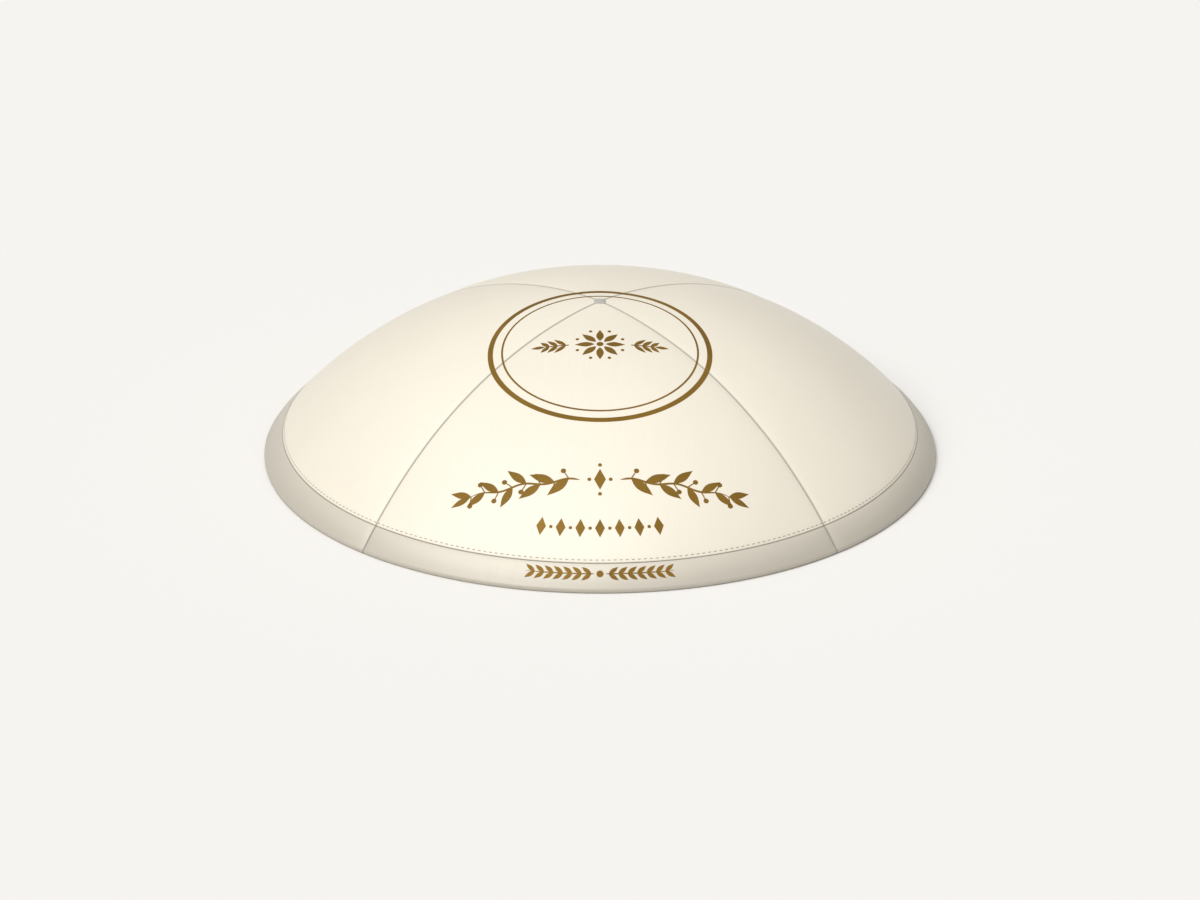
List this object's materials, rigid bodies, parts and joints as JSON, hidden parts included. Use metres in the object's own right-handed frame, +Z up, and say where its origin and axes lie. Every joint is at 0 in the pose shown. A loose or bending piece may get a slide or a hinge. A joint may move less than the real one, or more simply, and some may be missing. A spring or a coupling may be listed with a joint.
{
  "type": "kippah skullcap",
  "caption": "Shallow round satin skullcap sewn from curved triangular panels with a narrow rim band, closed at the top by a small square tack.",
  "frame": {"origin": "on the surface that the cap rests on, in the middle of its rim", "axes": "+Z up through the top of the crown; -Y is the front, where the printed side faces; the seams lie at 45 degrees to X and Y"},
  "size_m": [0.17, 0.17, 0.0435],
  "materials": {
    "ivory_satin": "ivory polyester satin with a soft sheen",
    "band_satin": "taupe polyester satin, slightly duller than the crown",
    "seam_thread": "matt greige sewing thread",
    "gold_foil": "satin gold foil print, in the visual model only"
  },
  "bodies": {
    "root": {"crown_panel_front": "ivory_satin", "crown_panel_right": "ivory_satin", "crown_panel_back": "ivory_satin", "crown_panel_left": "ivory_satin", "rim_band_front": "band_satin", "rim_band_right": "band_satin", "rim_band_back": "band_satin", "rim_band_left": "band_satin", "crown_tack": "seam_thread"}
  },
  "joints": []
}
